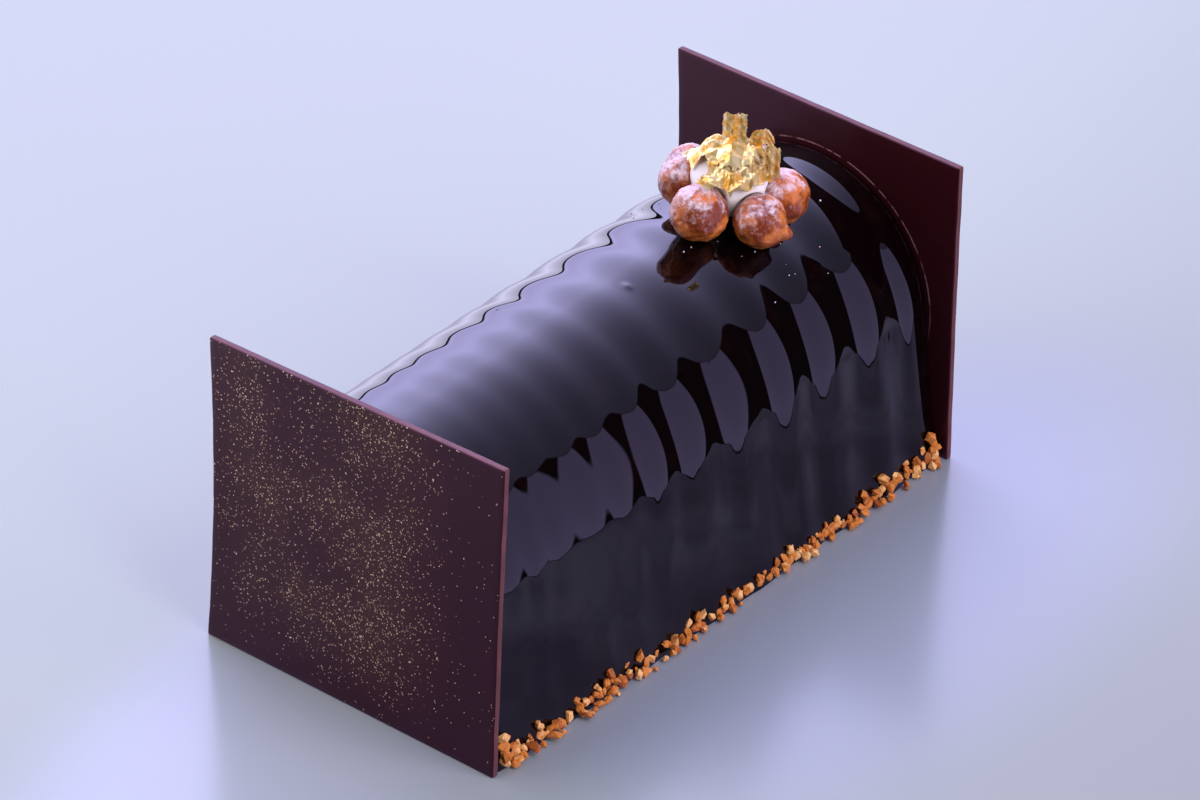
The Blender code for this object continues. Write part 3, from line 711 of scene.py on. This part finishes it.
cream_bm = bmesh.new()
bmesh.ops.create_uvsphere(cream_bm, u_segments=96, v_segments=64, radius=1.0)
for vert in cream_bm.verts:
    u = (vert.co.z + 1) / 2
    u = math.acos(1 - 2 * u) / math.pi
    flat = Vector((vert.co.x, vert.co.y, 0))
    outward = flat.normalized() * min(1.0, flat.length * 3) if flat.length > 0 else flat
    r = cream_radius(u) * (1 + 0.03 * noise.noise(vert.co * 1.7))
    z = CREAM_BASE + (CREAM_TOP - CREAM_BASE) * u
    vert.co = Vector((RING_X + outward.x * r, RING_Y + outward.y * r, z))
    for _ in range(3):
        for number in range(len(NUTS)):
            centre, _ = nut_centre(number)
            keep_off = NUTS[number][2] * 0.97 + CREAM_CLEAR
            if (vert.co - centre).length < keep_off:
                vert.co = centre + (vert.co - centre).normalized() * keep_off
cream_finish, f, shader = finish_of("whipped_cream", Subsurface_Weight=0.35, Subsurface_Scale=0.002)
shader.inputs["Subsurface Radius"].default_value = (1.0, 0.7, 0.5)
place = object_place(f)
soft = f.noise(place, 180.0, detail=2.0)
feed(
    shader,
    Base_Color=soft.blend((0.90, 0.83, 0.76), (0.95, 0.90, 0.85)),
    Roughness=soft * 0.15 + 0.35,
    Normal=f.bump(soft, 0.0002, 0.4),
)
cream = piece_from("cream_dollop", cream_bm, cream_finish)
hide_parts("cream")

# Gold leaf: edible gold, a sheet far thinner than paper, dropped on the cream with a brush so that it folds
# into flat facets with sharp creases. One sheet lies over the top, a second one hangs below it in front, and
# torn bits stand up as a tab, a rounded crest behind it and a flap at the right.
LEAF_THICK = 0.35 * MM
LEAF_CLEAR = 0.45 * MM
LEAF_SKIN = 0.05 * MM
# Torn edge of the upper sheet: angle round the cream's axis and how far out it reaches (mm)
LEAF_OUTLINE = [
    (-180, 10.5),
    (-156, 12.8),
    (-138, 11.4),
    (-118, 9.4),
    (-101, 8.8),
    (-92, 11.2),
    (-84, 17.0),
    (-80, 17.9),
    (-74, 16.8),
    (-66, 15.0),
    (-55, 11.0),
    (-8, 10.8),
    (20, 12.0),
    (60, 10.5),
    (120, 9.8),
    (180, 10.5),
]
LEAF_SPREAD = 18.0 * MM
LEAF_CELLS = 220
# Creases: angle, length and height (mm) of each set of folds
LEAF_CREASES = [(25, 6.2, 1.5), (-50, 3.9, 0.9), (80, 2.6, 0.5)]
FINE_CREASES = [(-15, 1.9, 0.13), (58, 1.2, 0.06)]
LEAF_BEND = 0.35
LEAF_DROP = 6.0 * MM
# Behind and at the left the leaf is pulled taut, as a cone, but it hugs the cream on the side of LEAF_FRONT
TAUT_TOP = 99.4 * MM
TAUT_SLOPE = 0.55
TAUT_DIP = 7.0 * MM
LEAF_FRONT = math.radians(-52)
LEAF_CALM = (9.0 * MM, 15.0 * MM, 0.25)
# Torn bits that stand up (mm): place, width, height of the top, how much its corners are rounded, and turn
STANDING_LEAVES = {
    "gold_leaf_tab": {"x": 3.0, "y": 147.9, "width": 6.6, "top": 109.6, "round": 0.0, "turn": 38},
    "gold_leaf_crest": {"x": 8.0, "y": 152.6, "width": 7.0, "top": 105.0, "round": 3.2, "turn": 52},
    "gold_leaf_flap": {"x": 14.6, "y": 149.4, "width": 4.4, "top": 103.6, "round": 0.6, "turn": 30},
}
STANDING_CELLS = 60
STANDING_SPREAD = 1.3 * MM
# The upper sheet ends early on the side where the lower one shows beneath it
LOWER_FROM = -120
LOWER_TO = 62
UPPER_REACH = 8.4 * MM
# The lower sheet is a torn brim on the cream's shoulder: angles, how far out it reaches (mm) and its creases
BRIM_OUTLINE = [
    (-124, 6.6),
    (-106, 7.0),
    (-96, 7.8),
    (-90, 9.8),
    (-86, 13.4),
    (-83, 17.0),
    (-80, 19.0),
    (-76, 18.0),
    (-70, 16.8),
    (-64, 15.6),
    (-57, 12.4),
    (-48, 11.6),
    (-40, 11.7),
    (-20, 11.4),
    (10, 11.2),
    (40, 10.8),
    (62, 9.2),
]
BRIM_START = 5.6 * MM
BRIM_BEND = 9.2 * MM
BRIM_SLOPE = 1.25
OVER_NUTS = 0.3 * MM
BRIM_CREASES = [(76, 2.9, 1.0), (-32, 5.0, 1.2), (28, 2.6, 0.5), (-70, 1.4, 0.2), (10, 1.0, 0.08)]
BRIM_CELLS = (360, 90)
# How far a crease pushes the brim outwards and upwards
BRIM_OUTWARD = 0.45
BRIM_UPWARD = 0.85


def cream_top(x, y):
    """Height of the dollop's upper side above a place, or of its widest ring beyond it."""
    r = min(1.0, math.hypot(x - RING_X, y - RING_Y) / CREAM_RADIUS)
    u = 0.5 + 0.5 * (1 - r**2) ** (1 / CREAM_DOME)
    return CREAM_BASE + (CREAM_TOP - CREAM_BASE) * u


def nut_top(x, y):
    """Height of the nuts above a place, or nothing where there is none."""
    top = 0.0
    for number in range(len(NUTS)):
        centre, _ = nut_centre(number)
        radius = NUTS[number][2]
        off = math.hypot(x - centre.x, y - centre.y)
        if off < radius:
            top = max(top, centre.z + math.sqrt(radius**2 - off**2))
    return top


def folded(value):
    """A zigzag between 0 and 1, for a surface folded flat and sharp."""
    return 2 * abs(value - math.floor(value) - 0.5)


def crumple(x, y, creases):
    """How far the creases lift the leaf at a place: zigzags that cross."""
    lift = 0.0
    for degrees, length, height in creases:
        angle = math.radians(degrees)
        bend = LEAF_BEND * noise.noise(Vector((x, y, degrees * MM)) / (2 * length * MM))
        lift += height * MM * folded((x * math.cos(angle) + y * math.sin(angle)) / (length * MM) + bend)
    return lift


def leaf_height(x, y):
    """Upper side of the draped gold leaf: over cream and nuts, falling a little beyond the cream's edge."""
    r = math.hypot(x - RING_X, y - RING_Y)
    angle = math.atan2(y - RING_Y, x - RING_X)
    fall = LEAF_DROP * max(0.0, r / CREAM_RADIUS - 0.8) ** 2
    taut = TAUT_TOP - TAUT_SLOPE * r - TAUT_DIP * max(0.0, math.cos(angle - LEAF_FRONT))
    under = max(cream_top(x, y) - fall, nut_top(x, y), taut)
    calm_from, calm_to, calmest = LEAF_CALM
    calm = min(1.0, max(0.0, (r - calm_from) / (calm_to - calm_from)))
    return under + LEAF_CLEAR + LEAF_THICK + crumple(x, y, LEAF_CREASES) * (1 - (1 - calmest) * calm)


def reach_at(outline, degrees):
    """How far a torn edge lies from the cream's axis in one direction."""
    for (start, low), (end, high) in zip(outline, outline[1:]):
        if start <= degrees <= end:
            return (low + (high - low) * (degrees - start) / (end - start)) * MM
    return outline[-1][1] * MM


def leaf_piece(name, bm, node):
    """Makes a crumpled sheet a piece that stands for a node, with the thickness of its skin."""
    leaf = piece_from(name, bm, gold_finish, sharp=12)
    thickness = leaf.modifiers.new("Leaf thickness", "SOLIDIFY")
    thickness.thickness = LEAF_SKIN
    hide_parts(node)


gold_finish, f, shader = finish_of("gold_leaf", Metallic=0.7)
place = object_place(f)
tone_and_fold_glow = f.noise(place, 300.0, detail=3.0)
wrinkle = f.noise(place, 1300.0, detail=3.0, roughness=0.6)
# Painted shade: thin dark olive lines that stand for the shade in the leaf's creases
crease_shade = abs(f.noise(place, 520.0, detail=3.0, distortion=1.5) - 0.5)
crease_shade = crease_shade.rise(0.022, 0.005) * tone_and_fold_glow.rise(0.64, 0.44)
# From pale gold to orange: the orange patches are partly a painted reflection between the folds
sheen = tone_and_fold_glow.rise(0.34, 0.58).blend((0.92, 0.51, 0.09), (0.97, 0.79, 0.37))
feed(
    shader,
    Base_Color=(crease_shade * 0.7).blend(sheen, (0.34, 0.20, 0.03)),
    Roughness=wrinkle * 0.2 + 0.24,
    Normal=f.bump(wrinkle, 0.00012, 0.7),
)

bm = bmesh.new()
bmesh.ops.create_grid(bm, x_segments=LEAF_CELLS, y_segments=LEAF_CELLS, size=LEAF_SPREAD)
gone = []
for face in bm.faces:
    spot = face.calc_center_median()
    degrees = math.degrees(math.atan2(spot.y, spot.x))
    ragged = 1.0 * MM * noise.noise(spot / (1.5 * MM)) + 0.45 * MM * noise.noise(spot / (0.5 * MM))
    edge = reach_at(LEAF_OUTLINE, degrees) + ragged
    if LOWER_FROM < degrees < LOWER_TO:
        edge = min(edge, UPPER_REACH + 1.5 * ragged)
    if spot.length > edge:
        gone.append(face)
bmesh.ops.delete(bm, geom=gone, context="FACES")
for vert in bm.verts:
    x = RING_X + vert.co.x
    y = RING_Y + vert.co.y
    vert.co = Vector((x, y, leaf_height(x, y) + crumple(x, y, FINE_CREASES)))
leaf_piece("gold_leaf_upper_sheet", bm, "gold_leaf")

bm = bmesh.new()
bmesh.ops.create_grid(bm, x_segments=BRIM_CELLS[0], y_segments=BRIM_CELLS[1], size=0.5)
for vert in bm.verts:
    degrees = BRIM_OUTLINE[0][0] + (BRIM_OUTLINE[-1][0] - BRIM_OUTLINE[0][0]) * (vert.co.x + 0.5)
    out = Vector((math.cos(math.radians(degrees)), math.sin(math.radians(degrees)), 0))
    arc = math.radians(degrees) * CREAM_RADIUS
    ragged = 0.9 * MM * noise.noise(Vector((arc / (1.6 * MM), 0, 0)))
    ragged += 0.5 * MM * noise.noise(Vector((arc / (0.5 * MM), 5, 0)))
    reach = reach_at(BRIM_OUTLINE, degrees) + ragged
    r = BRIM_START + (reach - BRIM_START) * (vert.co.y + 0.5)
    spot = Vector((RING_X, RING_Y, 0)) + out * r
    shoulder = Vector((RING_X, RING_Y, 0)) + out * min(r, BRIM_BEND)
    brim = cream_top(shoulder.x, shoulder.y) - BRIM_SLOPE * max(0.0, r - BRIM_BEND)
    height = max(brim, nut_top(spot.x, spot.y) + OVER_NUTS) + LEAF_CLEAR
    lift = crumple(arc, 1.3 * r, BRIM_CREASES) * (0.35 + 0.65 * (vert.co.y + 0.5))
    push = BRIM_OUTWARD * out + Vector((0, 0, BRIM_UPWARD))
    vert.co = spot + Vector((0, 0, height)) + push * lift
leaf_piece("gold_leaf_lower_sheet", bm, "gold_leaf")

for node, shape in STANDING_LEAVES.items():
    turn = math.radians(shape["turn"])
    across = Vector((math.cos(turn), math.sin(turn), 0))
    facing = Vector((math.sin(turn), -math.cos(turn), 0))
    middle = Vector((shape["x"] * MM, FRONT_FACE + shape["y"] * MM, 0))
    bm = bmesh.new()
    bmesh.ops.create_grid(bm, x_segments=STANDING_CELLS, y_segments=STANDING_CELLS, size=0.5)
    gone = []
    for face in bm.faces:
        spot = face.calc_center_median()
        torn = 0.06 * noise.noise(spot * 9 + middle * 900) + 0.03 * noise.noise(spot * 31 + middle * 900)
        if abs(spot.x) > 0.47 + torn or spot.y > 0.46 + 1.3 * torn:
            gone.append(face)
    bmesh.ops.delete(bm, geom=gone, context="FACES")
    for vert in bm.verts:
        folds_across = (vert.co.x + 0.5) * 6
        folds_up = (vert.co.y + 0.5) * 6
        base = middle + across * shape["width"] * MM * vert.co.x
        low = 0.0
        for step_x in (-STANDING_SPREAD, 0, STANDING_SPREAD):
            for step_y in (-STANDING_SPREAD, 0, STANDING_SPREAD):
                low = max(low, leaf_height(base.x + step_x, base.y + step_y))
        top = (shape["top"] - shape["round"] * (2 * vert.co.x) ** 2) * MM
        z = low + (top - low) * (vert.co.y + 0.5)
        fold = 1.0 * MM * folded(folds_across * 0.31 + 0.15)
        fold += 0.5 * MM * folded(folds_up * 0.42 + folds_across * 0.2)
        fine = crumple(base.dot(across), z, FINE_CREASES)
        spot = base + facing * (fold + LEAF_THICK / 2 + fine)
        vert.co = Vector((spot.x, spot.y, z))
    leaf_piece(node + "_sheet", bm, node)

# Floor: a plain pale polished surface that carries the cake. Its colour holds painted shade that makes it a
# little dimmer to the right and in front at the left, and painted light that makes it paler close to the cake,
# in its shade.
FLOOR_HALF = 3.0


def make_floor(name, left_end, right_end, height):
    """A flat sheet between two places along X."""
    bm = bmesh.new()
    bmesh.ops.create_grid(bm, x_segments=1, y_segments=1, size=FLOOR_HALF)
    for vert in bm.verts:
        vert.co.x = min(max(vert.co.x, left_end), right_end)
        vert.co.z = height
    mesh = bpy.data.meshes.new(name)
    bm.to_mesh(mesh)
    bm.free()
    made = bpy.data.objects.new(name, mesh)
    bpy.context.scene.collection.objects.link(made)
    return made


floor = make_floor("floor", -FLOOR_HALF, FLOOR_HALF, 0.0)
floor.visible_glossy = False
floor_finish, f, shader = finish_of("pale_floor", Roughness=0.2, IOR=1.5)
place = object_place(f)
across, along, _ = axes_of(place)


def painted_light_patch(centre, far, near):
    """How close a place of the floor is to a spot of painted light, along the log counted half."""
    squeezed = place.stretched(place, (1.0, 0.5, 1.0))
    return place.distance(squeezed, centre).rise(far, near)


# Painted shade: a band to the right of the cake is a little dimmer
painted_shade_band = across.rise(-0.10, 0.26) * across.rise(0.60, 0.26)
tone = painted_shade_band.blend((0.29, 0.335, 0.238), (0.180, 0.198, 0.150))
# Painted shade: a little dimmer in front at the left
tone = (along.rise(-0.06, -0.22) * across.rise(0.10, -0.06)).blend(tone, (0.225, 0.262, 0.186))
# Painted light: paler in front of the front plate, where the plate shades the floor
tone = painted_light_patch((0.0, -0.055, 0.0), 0.065, 0.03).blend(tone, (0.31, 0.34, 0.335))
# Painted light: paler beside the log's right foot, in the cake's shade
tone = painted_light_patch((0.058, 0.008, 0.0), 0.09, 0.03).blend(tone, (0.262, 0.288, 0.31))
feed(shader, Base_Color=tone)
floor.data.materials.append(floor_finish)

# What the cake mirrors of the floor: a glowing sheet that only reflections show. It is bright at the left
# and far in front, dim in the cake's shade, and ends a hand's breadth to the right in a thin dark line. Past
# that line the glaze mirrors the soft light behind it.
NEAR_EDGE = 117.0 * MM
DARK_EDGE = 1.6 * MM
UNDER_FLOOR = -0.2 * MM
mirrored = make_floor("mirrored_floor", -FLOOR_HALF, NEAR_EDGE + DARK_EDGE, UNDER_FLOOR)
glow_finish = bpy.data.materials.new("mirrored_floor")
glow_finish.use_nodes = True
glow_finish.cycles.emission_sampling = "NONE"
glow_finish.node_tree.nodes.clear()
f = Field(glow_finish.node_tree)
place = object_place(f)
across, along, _ = axes_of(place)
lit = f.maths("MAXIMUM", across.rise(0.03, -0.08), along.rise(-0.12, -0.30))
mottled = f.noise(place, 16.0, detail=4.0, distortion=1.2).rise(0.30, 0.70)
shaded = mottled.blend((0.19, 0.165, 0.31), (0.36, 0.33, 0.56))
colour = lit.blend(shaded, (0.52, 0.50, 0.72))
colour = across.rise(-0.10, -0.26).blend(colour, (1.70, 1.66, 2.30))
colour = across.rise(NEAR_EDGE, NEAR_EDGE + 0.3 * DARK_EDGE).blend(colour, (0.01, 0.01, 0.01))
glow = f.node("ShaderNodeEmission", {}, {"Color": colour, "Strength": 1.0})
out = f.tree.nodes.new("ShaderNodeOutputMaterial")
f.tree.links.new(glow.socket, out.inputs["Surface"])
mirrored.data.materials.append(glow_finish)
mirrored.visible_camera = False
mirrored.visible_diffuse = False
mirrored.visible_shadow = False

# Light: one large soft source at the rear left that dims towards the right, a low soft panel at the right,
# and a weak fill from the front left. They are in the world, so nothing hides the cake from any side. Two
# more soft lights open the shade, one from the right and a weaker one from the front left.
KEY_COLOUR = (0.58, 0.555, 1.0)
KEY_MOST = 5.4
KEY_LEAST = 0.35
PANEL_COLOUR = (0.60, 0.50, 1.0)
PANEL_LEVEL = 1.15
FILL_COLOUR = (1.0, 0.92, 0.95)
DARK_LEVEL = 0.015
AREA_COLOUR = (0.88, 0.86, 1.0)
AREA_SIZE = 1.2
# Name, place, power in watts and whether the glaze mirrors it
AREA_LIGHTS = (
    ("side light", (1.25, -0.05, 0.95), 27.0, False),
    ("front light", (-0.9, -1.15, 1.05), 12.0, True),
)
world = bpy.data.worlds.new("Soft studio")
world.use_nodes = True
bpy.context.scene.world = world
world.node_tree.nodes.clear()
f = Field(world.node_tree)
way = f.node("ShaderNodeTexCoord", {}, {}, output=0)
east, north, up = axes_of(way)
azimuth = f.maths("ARCTAN2", east, north) * (180 / math.pi)
elevation = f.maths("ARCSINE", up) * (180 / math.pi)
lower_edge = azimuth.rise(-45.0, -25.0) * 27.0 + 0.2
key = (elevation - lower_edge).rise(0.0, 1.2) * north.rise(-0.25, 0.05)
key_level = f.maths("MINIMUM", KEY_MOST, f.maths("EXPONENT", (east + 0.51) * -3.0) * KEY_MOST) + KEY_LEAST
key_level = key_level * (elevation.rise(3.0, 20.0) * 0.42 + 0.58)
panel = azimuth.rise(44.0, 45.5) * azimuth.rise(115.0, 112.0) * elevation.rise(28.0, 27.0)
fill = north.rise(0.1, -0.4) * up.rise(0.0, 0.5) * east.rise(0.15, -0.25)
glow = None
for colour, level in (
    (KEY_COLOUR, key * key_level),
    (PANEL_COLOUR, panel * PANEL_LEVEL),
    (FILL_COLOUR, fill + DARK_LEVEL),
):
    source = f.node("ShaderNodeBackground", {}, {"Color": (*colour, 1), "Strength": level})
    glow = source if glow is None else f.node("ShaderNodeAddShader", {}, {0: glow, 1: source})
out = world.node_tree.nodes.new("ShaderNodeOutputWorld")
world.node_tree.links.new(glow.socket, out.inputs["Surface"])
bpy.context.scene.view_settings.view_transform = "Standard"

for name, location, power, in_the_glaze in AREA_LIGHTS:
    lamp = bpy.data.lights.new(name, "AREA")
    lamp.shape = "SQUARE"
    lamp.size = AREA_SIZE
    lamp.energy = power
    lamp.color = AREA_COLOUR
    light = bpy.data.objects.new(name, lamp)
    light.location = location
    light.rotation_euler = light.location.to_track_quat("Z", "Y").to_euler()
    light.visible_glossy = in_the_glaze
    bpy.context.scene.collection.objects.link(light)

# Camera: a long lens from the front right, looking down on the cake. It is tilted a little and aimed at the
# middle of the log, from which it slides sideways by a few millimetres.
CAMERA_AZIMUTH = math.radians(-37.73)
CAMERA_ELEVATION = math.radians(33.28)
CAMERA_ROLL = math.radians(1.81)
CAMERA_DISTANCE = 1544.7 * MM
CAMERA_AIM = Vector((0.0, 90.25 * MM + FRONT_FACE, 47.5 * MM))
CAMERA_SLIDE = (5.13 * MM, 0.19 * MM)
SENSOR = 36.0
FRAME_PIXELS = 1200
FOCAL_PIXELS = 6001
forward = Vector(
    (
        math.sin(CAMERA_AZIMUTH) * math.cos(CAMERA_ELEVATION),
        math.cos(CAMERA_AZIMUTH) * math.cos(CAMERA_ELEVATION),
        -math.sin(CAMERA_ELEVATION),
    )
)
level_right = Vector((math.cos(CAMERA_AZIMUTH), -math.sin(CAMERA_AZIMUTH), 0))
level_up = level_right.cross(forward)
right = math.cos(CAMERA_ROLL) * level_right + math.sin(CAMERA_ROLL) * level_up
upward = -math.sin(CAMERA_ROLL) * level_right + math.cos(CAMERA_ROLL) * level_up
camera_data = bpy.data.cameras.new("camera")
camera_data.sensor_width = SENSOR
camera_data.lens = SENSOR * FOCAL_PIXELS / FRAME_PIXELS
camera = bpy.data.objects.new("camera", camera_data)
bpy.context.scene.collection.objects.link(camera)
stand = CAMERA_AIM + right * CAMERA_SLIDE[0] + upward * CAMERA_SLIDE[1] - forward * CAMERA_DISTANCE
camera.matrix_world = Matrix.Translation(stand) @ Matrix((right, upward, -forward)).transposed().to_4x4()
bpy.context.scene.camera = camera
